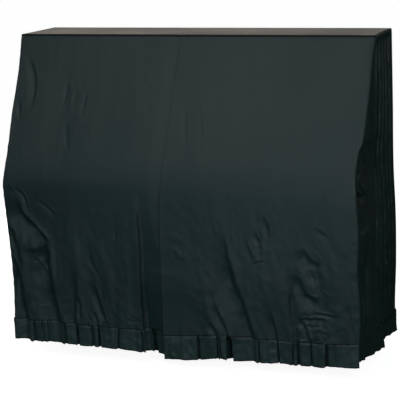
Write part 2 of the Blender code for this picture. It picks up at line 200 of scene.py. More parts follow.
def taffeta(name, deep, lit, rough, gloss, sheen):
    """Woven taffeta: two close shades, slubs along the threads, a fine weave, stitch lines and painted
    seam shade.
    """
    material = bpy.data.materials.new(name)
    material.use_nodes = True
    tree = material.node_tree
    shader = tree.nodes["Principled BSDF"]

    def calc(operation, *inputs):
        """What a math node gives for plain numbers and other nodes' outputs."""
        plain = {k: source for k, source in enumerate(inputs) if isinstance(source, float)}
        linked = {k: source for k, source in enumerate(inputs) if k not in plain}
        node = add_node(tree, "ShaderNodeMath", {"operation": operation}, plain, linked)
        return node.outputs[0]

    def span(source, low, high, first=0.0, last=1.0):
        """An output's run from low to high, carried over to first and last."""
        limits = {"From Min": low, "From Max": high, "To Min": first, "To Max": last}
        node = add_node(tree, "ShaderNodeMapRange", None, limits, {"Value": source})
        return node.outputs["Result"]

    def noise(where, settings):
        node = add_node(tree, "ShaderNodeTexNoise", None, settings, {"Vector": where})
        return node.outputs["Fac"]

    place = add_node(tree, "ShaderNodeTexCoord").outputs["Object"]
    cut = add_node(tree, "ShaderNodeUVMap", {"uv_map": "cut"}).outputs["UV"]
    clouds = noise(place, {"Scale": CLOUDS, "Detail": 4.0})
    slub_space = add_node(tree, "ShaderNodeMapping", None, {"Scale": SLUBS}, {"Vector": cut})
    slubs = noise(slub_space.outputs["Vector"], {"Scale": 1.0, "Detail": 3.0})
    mottle = add_node(
        tree, "ShaderNodeMix", {"data_type": "FLOAT"}, {"Factor": 0.30}, {"A": clouds, "B": slubs}
    )
    add_node(
        tree, "ShaderNodeMix", {"data_type": "RGBA", "name": "shade"},
        {"A": to_linear(deep), "B": to_linear(lit)},
        {"Factor": span(mottle.outputs["Result"], 0.32, 0.68)},
    )
    seam = add_node(tree, "ShaderNodeAttribute", {"attribute_name": "stitch"})
    run = add_node(tree, "ShaderNodeSeparateColor", None, None, {"Color": seam.outputs["Color"]})
    from_edge, gone = run.outputs["Red"], run.outputs["Green"]
    # painted shade: within a few millimetres of every sewn edge the cloth is drawn nearly black,
    # standing in for the shadow in the seam
    painted_seam_shade = add_node(
        tree, "ShaderNodeMix", {"data_type": "RGBA", "name": "painted_seam_shade"}, {"A": to_linear("#060d0e")},
        {"B": tree.nodes["shade"].outputs["Result"],
         "Factor": span(from_edge, PAINTED_SEAM_SHADE_WIDTH, PAINTED_SEAM_SHADE_WIDTH + 0.0012)},
    )
    tree.links.new(painted_seam_shade.outputs["Result"], shader.inputs["Base Color"])
    worn = span(clouds, 0.3, 0.7, rough - 0.05, rough + 0.06)
    tree.links.new(worn, shader.inputs["Roughness"])
    parts = add_node(tree, "ShaderNodeSeparateXYZ", None, None, {"Vector": cut})
    threads = [
        calc("SINE", calc("MULTIPLY", parts.outputs[axis], 2 * math.pi / THREAD))
        for axis in ("X", "Y")
    ]
    weave = calc("MULTIPLY", *threads)
    crinkle = noise(place, {"Scale": CRINKLE, "Detail": 4.0, "Roughness": 0.5})
    off_line = calc("ABSOLUTE", calc("SUBTRACT", from_edge, STITCH_IN))
    beat = calc("PINGPONG", calc("MULTIPLY", gone, 1 / STITCH), 0.5)
    stitches = calc("MULTIPLY", span(off_line, 0.0004, 0.0011, 1.0, 0.0), span(beat, 0.08, 0.16))
    raised = None
    for what, strength, distance in (
        (weave, 0.20, 0.0002), (slubs, 0.30, 0.0003),
        (crinkle, 0.30, 0.0012), (stitches, 0.80, 0.0008),
    ):
        links = {"Height": what}
        if raised:
            links["Normal"] = raised
        bump = add_node(
            tree, "ShaderNodeBump", None, {"Strength": strength, "Distance": distance}, links
        )
        raised = bump.outputs["Normal"]
    tree.links.new(raised, shader.inputs["Normal"])
    for socket, value in (
        ("IOR", 1.50), ("Specular IOR Level", gloss), ("Sheen Weight", sheen),
        ("Sheen Roughness", 0.4), ("Sheen Tint", to_linear("#b9c4c4")),
    ):
        shader.inputs[socket].default_value = value
    return material


# the front: two close dark green-greys with a soft gloss, so its folds are dark lines on grey
front_taffeta = taffeta("black_nylon_taffeta_front", "#1a3235", "#203b3d", 0.50, 0.74, 0.05)
# ends and back: seen from the side and turned from the lamps, so drawn as a darker, greener copy of
# the cloth, a painted shade, with no sheen to turn them milky
shaded_end_taffeta = taffeta("black_nylon_taffeta_ends_painted_shade", "#122a27", "#1f3f39", 0.50, 0.45, 0.0)
# the skirt: drawn paler and more mottled than the front, which sets off its pleats
skirt_taffeta = taffeta("black_nylon_taffeta_skirt", "#243a3c", "#374f50", 0.50, 0.74, 0.05)
# the top: seen at a glancing angle, so drawn as a paler, warmer copy of the cloth, a painted
# reflection of the lamp behind it, which makes it a pale warm strip
sheen_painted_top_taffeta = taffeta("black_nylon_taffeta_top_painted_sheen", "#3a3c38", "#43443f", 0.46, 0.50, 0.25)
print("materials", front_taffeta.name, shaded_end_taffeta.name, skirt_taffeta.name, sheen_painted_top_taffeta.name)

# %% [markdown]
# A fold is one row of a table: the few points that its valley runs through, how wide its two walls
# are, how deep it is, how crisp the far edge of its right wall is, how far the cloth stands up
# beyond that, and how it fades in and out. Hung cloth leans, so the two walls differ: one is a long
# easy slope, the other a short flank. Small wrinkles come in fans, from wherever cloth is held.

# %% smooth tables, folds and wrinkles
def along(table, at, column=1):
    """Smooth values of a table's column between its rows, for a whole array of places."""
    rows = np.array(table, float)
    x, y = rows[:, 0], rows[:, column]
    slopes = np.gradient(y, x)
    slopes[1:-1] = (y[2:] - y[:-2]) / (x[2:] - x[:-2])
    at = np.clip(np.asarray(at, float), x[0], x[-1])
    k = np.clip(np.searchsorted(x, at, side="right") - 1, 0, len(x) - 2)
    span = x[k + 1] - x[k]
    s = (at - x[k]) / span
    return (
        (2 * s**3 - 3 * s**2 + 1) * y[k]
        + (s**3 - 2 * s**2 + s) * slopes[k] * span
        + (3 * s**2 - 2 * s**3) * y[k + 1]
        + (s**3 - s**2) * slopes[k + 1] * span
    )


def ease(value, start, end):
    """A smooth step from 0 at start to 1 at end, which may run either way."""
    share = np.clip((value - start) / (end - start), 0.0, 1.0)
    return share * share * (3 - 2 * share)


def ripple(a, b, size, seed):
    """Smooth random heights from -1 to 1 over a sheet, with bumps about size across."""
    lattice = np.random.default_rng(seed).uniform(-1, 1, (64, 64))
    p, q = a / size + 17.3, b / size + 11.9
    i, j = np.floor(p).astype(int), np.floor(q).astype(int)
    u, v = p - i, q - j
    u, v = u * u * (3 - 2 * u), v * v * (3 - 2 * v)
    i, j, i1, j1 = i % 64, j % 64, (i + 1) % 64, (j + 1) % 64
    low = lattice[i, j] * (1 - u) + lattice[i1, j] * u
    high = lattice[i, j1] * (1 - u) + lattice[i1, j1] * u
    return low * (1 - v) + high * v


def crumple(a, b, size, seed):
    """Crossed sharp wrinkles, as in squeezed cloth, from about -1 to 1."""
    total = 0.0
    warp = 0.3 * size
    a, b = a + warp * ripple(a, b, size, seed + 8), b + warp * ripple(b, a, size, seed + 9)
    for k, share in enumerate((0.55, 0.30, 0.15)):
        slant = 0.6 + 1.1 * k + seed
        p, q = a * math.cos(slant) + b * math.sin(slant), b * math.cos(slant) - a * math.sin(slant)
        total = total + share * (1 - 3 * np.abs(ripple(p, q, size / 1.9**k, seed + k)))
    return total


def smooth_path(points, per_span=5):
    """A smooth line through a fold's own points."""
    p = np.array(points, float)
    p = np.concatenate([[2 * p[0] - p[1]], p, [2 * p[-1] - p[-2]]])
    s = np.linspace(0, 1, per_span, endpoint=False)[:, None]
    line = []
    for a, b, c, d in zip(p[:-3], p[1:-2], p[2:-1], p[3:]):
        line.append(0.5 * (
            2 * b + (c - a) * s
            + (2 * a - 5 * b + 4 * c - d) * s**2 + (3 * b - a - 3 * c + d) * s**3
        ))
    return np.concatenate(line + [p[-2:-1]])


LUMP = 0.045             # a fold's depth swells and sinks about this often along it, metres
LUMP_REACH = 0.018       # and only this near its valley, so that its long slope stays even


def fold_heights(folds, a, d):
    """Deepest trough plus highest ridge that a table of folds makes at each point of a sheet."""
    warp_a = a + 0.0035 * ripple(a, d, 0.060, 5) + 0.0014 * ripple(a, d, 0.021, 6)
    warp_d = d + 0.0035 * ripple(a, d, 0.060, 7)
    ridge, trough = np.zeros_like(a), np.zeros_like(a)
    for number, (points, left, right, height, crisp, proud, rise, fall) in enumerate(folds):
        path = smooth_path(points)
        reach = 1.6 * max(left, right) + 0.012
        near = np.flatnonzero(
            (a > path[:, 0].min() - reach) & (a < path[:, 0].max() + reach)
            & (d > path[:, 1].min() - reach) & (d < path[:, 1].max() + reach)
        )
        if not len(near):
            continue
        start, run = path[:-1], np.diff(path, axis=0)
        length = np.hypot(run[:, 0], run[:, 1])
        off_a = warp_a[near][:, None] - start[:, 0]
        off_d = warp_d[near][:, None] - start[:, 1]
        share = np.clip((off_a * run[:, 0] + off_d * run[:, 1]) / length**2, 0.0, 1.0)
        off_a, off_d = off_a - share * run[:, 0], off_d - share * run[:, 1]
        gap = off_a**2 + off_d**2
        best = gap.argmin(axis=1)
        pick = (np.arange(len(near)), best)
        side = np.sign(off_a[pick] * run[best, 1] - off_d[pick] * run[best, 0])
        away = np.sqrt(gap[pick])
        gone = np.concatenate([[0.0], np.cumsum(length)])[best] + share[pick] * length[best]
        whole = length.sum()
        strength = 1 + 0.25 * ripple(gone, gone * 0 + number, LUMP, 9) * np.exp(-away / LUMP_REACH)
        if rise:
            strength = strength * ease(gone / whole, 0.0, rise)
        if fall:
            strength = strength * ease(gone / whole, 1.0, 1.0 - fall)
        slack = 0.6 + 0.4 * np.minimum(strength, 1.0)
        up = np.clip(away / (right * slack), 0.0, 1.0)
        down = np.clip(away / left, 0.0, 1.0)
        wall = np.where(side > 0, (1 - up) * (1 + crisp * up), 1 - ease(down, 0.0, 1.0))
        beyond = (away * side - right * slack) / (0.9 * right)
        fold = height * strength * (wall - proud * np.exp(-(beyond**2)))
        ridge[near] = np.maximum(ridge[near], fold)
        trough[near] = np.minimum(trough[near], fold)
    return ridge + trough


FAN_ENDING = (0.2, 0.2, 0.7, 0.15)    # crispness, proud, fade in and fade out of a small wrinkle


def fan(a, d, first, last, count, length, depth, seed):
    """Rows of short wrinkles spreading from a held point; angles are degrees right of upwards."""
    chance = np.random.default_rng(seed)
    rows = []
    for degrees in np.linspace(first, last, count):
        angle = math.radians(degrees + chance.uniform(-6, 6))
        reach, bend = length * chance.uniform(0.5, 1.0), length * chance.uniform(-0.10, 0.10)
        away, aside = (math.sin(angle), -math.cos(angle)), (math.cos(angle), math.sin(angle))
        tip = (a + reach * away[0], d + reach * away[1])
        middle = tuple(c + reach / 2 * w + bend * t for c, w, t in zip((a, d), away, aside))
        held = (a + chance.uniform(-0.006, 0.006), d)
        sunk = -depth * chance.uniform(0.5, 0.9)
        wide = chance.uniform(0.006, 0.010)
        rows.append(((tip, middle, held), 1.7 * wide, 0.6 * wide, sunk, *FAN_ENDING))
    return tuple(rows)


def crumpled(patches, a, d):
    """Height of squeezed patches, each a row: middle, reach each way, size, height, stretch."""
    total = np.zeros_like(a)
    for number, (a0, d0, wide, tall, size, height, stretch) in enumerate(patches):
        inside = np.exp(-(((a - a0) / wide) ** 2) - ((d - d0) / tall) ** 2)
        total += height * inside * crumple(a, d * stretch, size, 300 + 7 * number)
    return total


def rolled(inner, radius, depth):
    """How far a sewn edge rolls in, from its distance to the seam."""
    return depth * np.clip(1 - inner / radius, 0.0, 1.0) ** 2


print("fold helpers ready")

# %% [markdown]
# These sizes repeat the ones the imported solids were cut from: the front's profile, its corners,
# the opening, and the line of the skirt's seam and hem. A drop is a distance below the lid.

# %% the cover's cut
CLOTH = 0.0009           # drawn thickness of the cloth, metres
TUCK = 0.055             # how far the left front panel runs on behind the right one
SEAM_DROP = 1.182        # drop of the skirt's seam, before it rises and falls
Y_BACK = 0.155           # the back wall
# drop, y of the front's plain surface
FRONT_PROFILE = (
    (0.000, -0.155), (0.150, -0.226), (0.300, -0.296), (0.420, -0.351), (0.500, -0.387),
    (0.545, -0.404), (0.575, -0.412), (0.620, -0.413), (0.750, -0.406), (0.900, -0.399),
    (1.050, -0.391), (1.300, -0.381),
)
# drop, x of the left corner and of the right one
FRONT_CORNERS = (
    (0.000, -0.760, 0.764), (0.085, -0.752, 0.759), (0.180, -0.748, 0.760),
    (0.300, -0.749, 0.757), (0.390, -0.746, 0.752), (0.425, -0.745, 0.740),
    (0.520, -0.746, 0.737), (0.575, -0.751, 0.743), (0.660, -0.755, 0.748),
    (0.760, -0.751, 0.751), (0.890, -0.745, 0.744), (1.030, -0.743, 0.752),
    (1.170, -0.749, 0.748), (1.280, -0.755, 0.741),
)
BACK_CORNERS = (
    (0.000, -0.758, 0.756), (0.300, -0.757, 0.760), (0.550, -0.760, 0.762),
    (0.770, -0.768, 0.771), (0.970, -0.770, 0.772), (1.180, -0.764, 0.767),
    (1.280, -0.772, 0.778),
)
# drop, x of the right panel's free edge
SLIT = (
    (0.000, -0.041), (0.200, -0.043), (0.400, -0.046), (0.550, -0.050), (0.650, -0.057),
    (0.770, -0.064), (1.000, -0.068), (1.150, -0.071), (1.300, -0.073),
)
# place along the wall, drop of the skirt's seam, drop of its hem
LEFT_HEM = (
    (-0.755, 1.178, 1.264), (-0.600, 1.175, 1.270), (-0.400, 1.181, 1.273),
    (-0.200, 1.183, 1.278), (-0.073, 1.182, 1.286), (0.000, 1.182, 1.286),
)
RIGHT_HEM = (
    (-0.075, 1.200, 1.300), (0.070, 1.189, 1.292), (0.165, 1.181, 1.279),
    (0.235, 1.184, 1.287), (0.400, 1.182, 1.280), (0.550, 1.184, 1.283),
    (0.650, 1.181, 1.275), (0.745, 1.172, 1.270),
)
RIGHT_END_HEM = (
    (-0.385, 1.168, 1.246), (-0.255, 1.180, 1.266), (-0.040, 1.186, 1.286),
    (-0.020, 1.186, 1.274), (0.155, 1.180, 1.269),
)
LEFT_END_HEM = (
    (-0.385, 1.176, 1.262), (-0.200, 1.180, 1.272), (0.000, 1.183, 1.268),
    (0.155, 1.180, 1.272),
)
BACK_HEM = (
    (-0.775, 1.180, 1.272), (-0.300, 1.184, 1.278), (0.200, 1.181, 1.274),
    (0.775, 1.180, 1.269),
)
print("front drop", SEAM_DROP, "to the skirt")

# %% [markdown]
# The front's own folds. The deep one low on the left hangs from the corner of the keyboard and
# turns down into a long soft trough; shorter ones run into the skirt's seam, which holds the cloth.
# They are listed one by one, because cloth that is pulled over a piano keeps the folds its handling
# gave it, and a drape from rest would not find them.

# %% folds of the front
# points (across, drop), left wall, right wall, height, crispness, proud, fade in, fade out
LEFT_FOLDS = (
    (((-0.702, 0.640), (-0.692, 0.678), (-0.677, 0.712), (-0.652, 0.746), (-0.618, 0.780),
      (-0.588, 0.808), (-0.566, 0.840)), 0.100, 0.016, -0.0215, 0.5, 0.20, 0.40, 0.12),
    (((-0.592, 0.815), (-0.578, 0.863), (-0.580, 0.915), (-0.579, 0.971), (-0.571, 1.035),
      (-0.560, 1.100), (-0.548, 1.185)), 0.120, 0.023, -0.0235, 0.5, 0.16, 0.25, 0.00),
    (((-0.642, 0.884), (-0.600, 0.876), (-0.562, 0.886)), 0.017, 0.007, -0.0049, 0.0, 0.3, 0.4, 0.2),
    (((-0.645, 0.890), (-0.614, 0.928), (-0.584, 0.976)), 0.021, 0.009, -0.0070, 0.3, 0.25, 0.4, 0.3),
    (((-0.620, 0.895), (-0.600, 0.930), (-0.582, 0.950)), 0.015, 0.006, -0.0039, 0.3, 0.25, 0.4, 0.3),
    (((-0.727, 0.760), (-0.720, 0.829), (-0.708, 0.880), (-0.697, 0.955)),
     0.036, 0.012, -0.0088, 0.4, 0.15, 0.30, 0.30),
    (((-0.730, 0.890), (-0.726, 0.959), (-0.714, 1.037), (-0.702, 1.111), (-0.694, 1.185)),
     0.060, 0.021, -0.0230, 0.5, 0.08, 0.35, 0.00),
    (((-0.704, 0.600), (-0.683, 0.612), (-0.656, 0.640), (-0.640, 0.700)),
     0.024, 0.006, -0.0049, 0.2, 0.35, 0.40, 0.50),
    (((-0.604, 0.640), (-0.563, 0.667), (-0.534, 0.696), (-0.505, 0.735)),
     0.022, 0.005, -0.0034, 0.2, 0.35, 0.40, 0.50),
    (((-0.604, 1.055), (-0.607, 1.110)), 0.013, 0.005, -0.0036, 0.2, 0.30, 0.50, 0.20),
    (((-0.640, 1.110), (-0.606, 1.119), (-0.570, 1.126)), 0.015, 0.005, -0.0036, 0.2, 0.3, 0.4, 0.4),
    (((-0.447, 0.915), (-0.455, 0.990), (-0.461, 1.060), (-0.469, 1.185)),
     0.047, 0.012, -0.0099, 0.5, 0.12, 0.45, 0.00),
    (((-0.454, 1.030), (-0.442, 1.085), (-0.436, 1.160)), 0.025, 0.009, -0.0070, 0.4, 0.2, 0.4, 0.3),
    (((-0.388, 0.870), (-0.360, 0.924), (-0.340, 0.985)), 0.024, 0.006, -0.0039, 0.0, 0.2, 0.5, 0.5),
    (((-0.380, 0.975), (-0.357, 1.057), (-0.330, 1.170)), 0.036, 0.010, -0.0070, 0.3, 0.2, 0.4, 0.2),
    (((-0.378, 1.110), (-0.361, 1.185)), 0.016, 0.008, -0.0070, 0.3, 0.30, 0.50, 0.00),
    (((-0.255, 0.750), (-0.258, 0.820)), 0.014, 0.004, -0.0022, 0.0, 0.20, 0.50, 0.50),
    (((-0.717, 0.080), (-0.680, 0.133), (-0.664, 0.185), (-0.659, 0.239), (-0.666, 0.310)),
     0.040, 0.009, -0.0059, 0.0, 0.15, 0.40, 0.40),
    (((-0.730, 0.250), (-0.716, 0.291), (-0.703, 0.345)), 0.020, 0.006, -0.0044, 0.0, 0.15, 0.5, 0.5),
    (((-0.500, 0.185), (-0.510, 0.233), (-0.516, 0.285)), 0.020, 0.004, -0.0026, 0.0, 0.2, 0.5, 0.5),
    (((-0.418, 0.215), (-0.424, 0.270), (-0.430, 0.320)), 0.021, 0.004, -0.0028, 0.0, 0.15, 0.5, 0.5),
    (((-0.484, 0.330), (-0.480, 0.399), (-0.466, 0.462)), 0.025, 0.004, -0.0030, 0.0, 0.15, 0.5, 0.5),
)
RIGHT_FOLDS = (
    (((0.186, 0.730), (0.202, 0.805), (0.215, 0.885), (0.236, 0.970), (0.263, 1.043), (0.279, 1.096),
      (0.305, 1.185)), 0.120, 0.021, -0.0205, 0.3, 0.10, 0.50, 0.00),
    (((0.292, 0.755), (0.314, 0.822), (0.346, 0.875)), 0.030, 0.006, -0.0031, 0.3, 0.25, 0.5, 0.5),
    (((0.330, 0.715), (0.347, 0.772), (0.370, 0.830)), 0.030, 0.008, -0.0039, 0.3, 0.25, 0.5, 0.5),
    (((0.376, 0.675), (0.386, 0.721), (0.396, 0.765)), 0.030, 0.009, -0.0042, 0.3, 0.25, 0.5, 0.5),
    (((0.318, 0.876), (0.353, 0.858), (0.384, 0.856)), 0.015, 0.004, -0.0026, 0.0, 0.6, 0.4, 0.4),
    (((0.128, 1.115), (0.149, 1.158), (0.166, 1.195)), 0.026, 0.008, -0.0095, 0.2, 0.2, 0.5, 0.0),
    (((0.150, 1.020), (0.168, 1.089), (0.184, 1.125), (0.203, 1.185)),
     0.032, 0.011, -0.0079, 0.4, 0.25, 0.50, 0.00),
    (((0.150, 0.915), (0.151, 1.014), (0.157, 1.090)), 0.030, 0.005, -0.0036, 0.0, 0.2, 0.5, 0.5),
    (((0.386, 1.055), (0.397, 1.122), (0.406, 1.185)), 0.030, 0.009, -0.0110, 0.3, 0.2, 0.5, 0.0),
    (((0.480, 0.895), (0.477, 0.993), (0.479, 1.058), (0.483, 1.133), (0.492, 1.185)),
     0.012, 0.028, -0.0090, -0.4, 0.08, 0.30, 0.00),
    (((0.498, 0.895), (0.509, 0.946), (0.529, 0.986), (0.556, 1.005), (0.598, 1.012)),
     0.060, 0.018, -0.0088, 0.3, 0.20, 0.30, 0.30),
    (((0.526, 0.795), (0.545, 0.837), (0.564, 0.857), (0.604, 0.866)),
     0.055, 0.015, -0.0070, 0.3, 0.20, 0.35, 0.40),
    (((0.544, 0.850), (0.558, 0.893), (0.582, 0.955)), 0.030, 0.010, -0.0057, 0.4, 0.2, 0.4, 0.4),
    (((0.576, 0.712), (0.604, 0.731), (0.636, 0.750)), 0.030, 0.006, -0.0031, 0.0, 0.25, 0.5, 0.5),
    (((0.552, 1.056), (0.611, 1.063), (0.672, 1.070)), 0.023, 0.006, -0.0043, 0.0, 0.6, 0.4, 0.5),
    (((0.492, 1.082), (0.549, 1.086), (0.632, 1.084)), 0.026, 0.006, -0.0048, 0.0, 0.6, 0.3, 0.4),
    (((0.496, 1.060), (0.522, 1.120), (0.544, 1.185)), 0.025, 0.011, -0.0079, 0.3, 0.25, 0.4, 0.0),
    (((0.690, 0.965), (0.710, 1.066), (0.728, 1.170)), 0.028, 0.006, -0.0043, 0.2, 0.2, 0.5, 0.3),
    (((0.062, 0.215), (0.090, 0.313), (0.114, 0.460)), 0.017, 0.004, -0.0016, 0.2, 0.2, 0.5, 0.5),
    (((0.016, 0.230), (0.031, 0.345), (0.048, 0.460)), 0.035, 0.004, -0.0020, 0.0, 0.15, 0.5, 0.5),
)
# held point across and drop, first and last angle, how many, length, depth, seed
FRONT_FANS = (
    (-0.735, 0.600, 118, 176, 5, 0.110, 0.0040, 101),
    (-0.600, 1.180, -35, 30, 4, 0.055, 0.0028, 102),
    (-0.522, 1.182, -35, 10, 3, 0.060, 0.0034, 103),
    (-0.464, 1.182, -20, 25, 3, 0.080, 0.0036, 104),
    (-0.368, 1.182, -30, 30, 5, 0.090, 0.0036, 105),
    (-0.272, 1.182, -30, 30, 3, 0.045, 0.0024, 106),
    (-0.168, 1.150, -88, -48, 4, 0.085, 0.0026, 107),
    (0.168, 1.188, -38, 12, 5, 0.110, 0.0048, 108),
    (0.205, 1.186, -10, 30, 3, 0.080, 0.0036, 109),
    (0.331, 1.184, -25, 20, 3, 0.050, 0.0028, 110),
    (0.409, 1.184, -25, 20, 3, 0.070, 0.0046, 111),
    (0.490, 1.184, 8, 80, 8, 0.135, 0.0055, 112),
    (0.500, 1.105, 55, 98, 4, 0.110, 0.0040, 113),
    (0.545, 1.184, 0, 60, 4, 0.070, 0.0036, 114),
    (0.608, 1.182, -30, 30, 4, 0.060, 0.0030, 115),
    (0.742, 0.440, 205, 262, 5, 0.070, 0.0028, 116),
    (0.742, 0.600, 215, 300, 5, 0.060, 0.0024, 117),
)
FRONT_FOLDS = LEFT_FOLDS + RIGHT_FOLDS
for row in FRONT_FANS:
    FRONT_FOLDS += fan(*row)
# middle across and drop, reach each way, wrinkle size, height, stretch down the sheet
FRONT_CRUMPLES = (
    (-0.600, 0.920, 0.050, 0.050, 0.040, 0.0014, 1.0),
    (-0.700, 1.020, 0.030, 0.150, 0.034, 0.0020, 0.6),
    (-0.400, 1.140, 0.130, 0.045, 0.030, 0.0014, 0.5),
    (-0.490, 0.240, 0.060, 0.070, 0.045, 0.0012, 0.7),
    (-0.480, 0.400, 0.060, 0.080, 0.045, 0.0010, 0.6),
    (0.005, 0.830, 0.035, 0.050, 0.034, 0.0014, 0.8),
    (0.370, 0.780, 0.070, 0.120, 0.044, 0.0016, 0.5),
    (0.190, 1.130, 0.050, 0.050, 0.030, 0.0018, 0.5),
    (0.560, 1.120, 0.075, 0.060, 0.040, 0.0030, 1.0),
    (0.560, 0.960, 0.070, 0.110, 0.044, 0.0022, 0.9),
    (0.680, 1.100, 0.060, 0.070, 0.040, 0.0014, 0.7),
    (0.735, 0.470, 0.022, 0.130, 0.034, 0.0024, 1.0),
    (0.740, 0.780, 0.018, 0.250, 0.030, 0.0014, 0.9),
)
# middle across and drop, reach each way, how far it stands out or sags in
FRONT_SWELLS = (
    (-0.400, 0.280, 0.260, 0.200, -0.0033),
    (0.380, 0.260, 0.300, 0.200, -0.0033),
    (-0.540, 0.380, 0.070, 0.160, -0.0028),
    (-0.620, 0.200, 0.050, 0.180, 0.0022),
    (0.080, 0.340, 0.030, 0.200, 0.0012),
    (0.150, 0.360, 0.030, 0.200, -0.0011),
    (-0.640, 0.920, 0.060, 0.200, 0.0028),
    (-0.490, 0.980, 0.050, 0.230, 0.0033),
    (-0.330, 0.980, 0.110, 0.280, -0.0028),
    (0.120, 0.950, 0.110, 0.300, 0.0033),
    (0.345, 0.980, 0.060, 0.220, 0.0039),
    (0.430, 0.950, 0.060, 0.260, 0.0022),
    (0.560, 1.080, 0.090, 0.120, -0.0033),
    (0.690, 0.940, 0.060, 0.260, 0.0022),
)

# ripples all over: height above the keyboard, what is added below it, stretch, size, seed
FRONT_RIPPLES = (
    (0.0010, 0.0034, 0.20, 0.060, 21),
    (0.0002, 0.0016, 0.25, 0.027, 22),
    (0.0003, 0.0005, 0.60, 0.016, 23),
)


def front_lift(x, drop):
    """How far the front stands out of its plain surface."""
    left, right = along(FRONT_CORNERS, drop, 1), along(FRONT_CORNERS, drop, 2)
    at = np.minimum(drop, SEAM_DROP)
    calm = ease(x - left, 0.0, 0.018) * ease(right - x, 0.0, 0.018) * ease(drop, 0.0, 0.05)
    low = ease(at, 0.60, 0.95)
    lift = fold_heights(FRONT_FOLDS, x, at) + crumpled(FRONT_CRUMPLES, x, at)
    for a0, d0, wide, tall, height in FRONT_SWELLS:
        lift += height * np.exp(-(((x - a0) / wide) ** 2) - ((at - d0) / tall) ** 2)
    leaning = x - 0.20 * at * ease(x, -0.2, 0.1)
    for high, added, stretch, size, seed in FRONT_RIPPLES:
        lift += (high + added * low) * ripple(leaning, at * stretch, size, seed)
    tight = np.exp(-(SEAM_DROP - at) / 0.035) * 0.0016 * ripple(x, at * 0.2, 0.015, 24)
    tight += np.exp(-at / 0.025) * 0.0007 * ripple(x, at * 0.2, 0.020, 25)
    edge = np.exp(-np.minimum(right - x, x - left) / 0.016)
    tight += edge * (0.0010 + 0.0012 * ease(drop, 0.30, 0.45)) * ripple(x * 0.3, at, 0.020, 26)
    return lift * calm + tight


# rounding of each corner: drop, how far back the left one turns, and the right one
CORNER_TURN = (
    (0.00, 0.001, 0.002), (0.56, 0.001, 0.002), (0.68, 0.010, 0.003), (1.30, 0.007, 0.003),
)


def front_y(x, drop):
    """y of the front's cloth, with its folds and its rounded corners."""
    left, right = along(FRONT_CORNERS, drop, 1), along(FRONT_CORNERS, drop, 2)
    turned = along(CORNER_TURN, drop, 1) * np.exp(-np.abs(x - left) / 0.014)
    turned += along(CORNER_TURN, drop, 2) * np.exp(-np.abs(right - x) / 0.010)
    return along(FRONT_PROFILE, drop) - front_lift(x, drop) + turned


print(len(FRONT_FOLDS), "folds and", len(FRONT_CRUMPLES), "crumpled patches on the front")

# %% [markdown]
# Every panel starts as a square grid, because a grid bends evenly and keeps its threads straight.
# Its lines crowd together at the sewn edges, where the cloth rolls under within a few millimetres.
# A placing function moves each point, and Solidify gives the cloth its thickness.

# %% a sheet of cloth
SEWN_EDGE = (0.0, 0.0011, 0.0023, 0.0037, 0.0053, 0.0072)     # grid lines in from a seam, metres
REST = 9.0               # an end past every sheet, for a span that takes all that is left


def lines(length, *spans):
    """Places of a sheet's grid lines, from 0 to 1; each span is where it ends and its step."""
    at = list(SEWN_EDGE)
    for end, step in spans:
        start, end = at[-1], min(end, length - SEWN_EDGE[-1])
        count = max(1, round((end - start) / step))
        at += [start + (end - start) * k / count for k in range(1, count + 1)]
    at += [length - inset for inset in reversed(SEWN_EDGE[:-1])]
    return np.array(at) / length


def cloth(name, across, down, place, material, node, flat, flip=False, hem=None):
    """A grid placed by place(u, v), both 0 to 1, with its cut size as a UV map in metres."""
    columns, rows = len(across) - 1, len(down) - 1
    mesh = bpy.data.meshes.new(name)
    grid = bmesh.new()
    bmesh.ops.create_grid(grid, x_segments=columns, y_segments=rows, size=0.5)
    if flip:
        bmesh.ops.reverse_faces(grid, faces=grid.faces)
    grid.to_mesh(mesh)
    grid.free()
    count = len(mesh.vertices)
    co = np.empty(count * 3, dtype=np.float32)
    mesh.vertices.foreach_get("co", co)
    co = co.reshape(-1, 3).astype(float)
    column = np.rint((co[:, 0] + 0.5) * columns).astype(int)
    row = np.rint((0.5 - co[:, 1]) * rows).astype(int)
    u, v = across[column], down[row]
    co = np.stack(place(u, v), axis=1)
    mesh.vertices.foreach_set("co", co.astype(np.float32).ravel())
    layer = mesh.uv_layers.new(name="cut")
    corners = np.empty(len(mesh.loops), dtype=np.int32)
    mesh.loops.foreach_get("vertex_index", corners)
    cut = np.stack([u * flat[0], (1 - v) * flat[1]], axis=1)
    layer.data.foreach_set("uv", cut[corners].astype(np.float32).ravel())
    edges = hem(u, v)
    stitch = np.stack([edges[0], edges[1], np.zeros(count), np.ones(count)], axis=1)
    line = mesh.attributes.new("stitch", "FLOAT_COLOR", "POINT")
    line.data.foreach_set("color", stitch.astype(np.float32).ravel())
    mesh.shade_smooth()
    mesh.materials.append(material)
    piece = bpy.data.objects.new(name, mesh)
    scene.collection.objects.link(piece)
    thick = piece.modifiers.new("thickness", "SOLIDIFY")
    thick.thickness = CLOTH
    thick.offset = -1.0
    thick.use_even_offset = True
    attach(piece, "root")
    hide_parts(node)
    print(name, columns, "x", rows, "squares")


def panel_hem(width, length, sewn_side=None):
    """Distance to the nearest sewn edge and the way along it; a side is 0 or 1, where u ends."""
    def edges(u, v):
        inside = np.minimum(v, 1 - v) * length
        if sewn_side is not None:
            inside = np.minimum(inside, np.abs(u - sewn_side) * width)
        return inside, u * width + v * length

    return edges


TOP_START = 0.0015       # drop where the walls start, just under the top
SEAM_SHORT = 0.0004      # walls end this far above the skirt's seam
CORNER_GAP = 0.0012      # sheets stop this far short of the two back corners


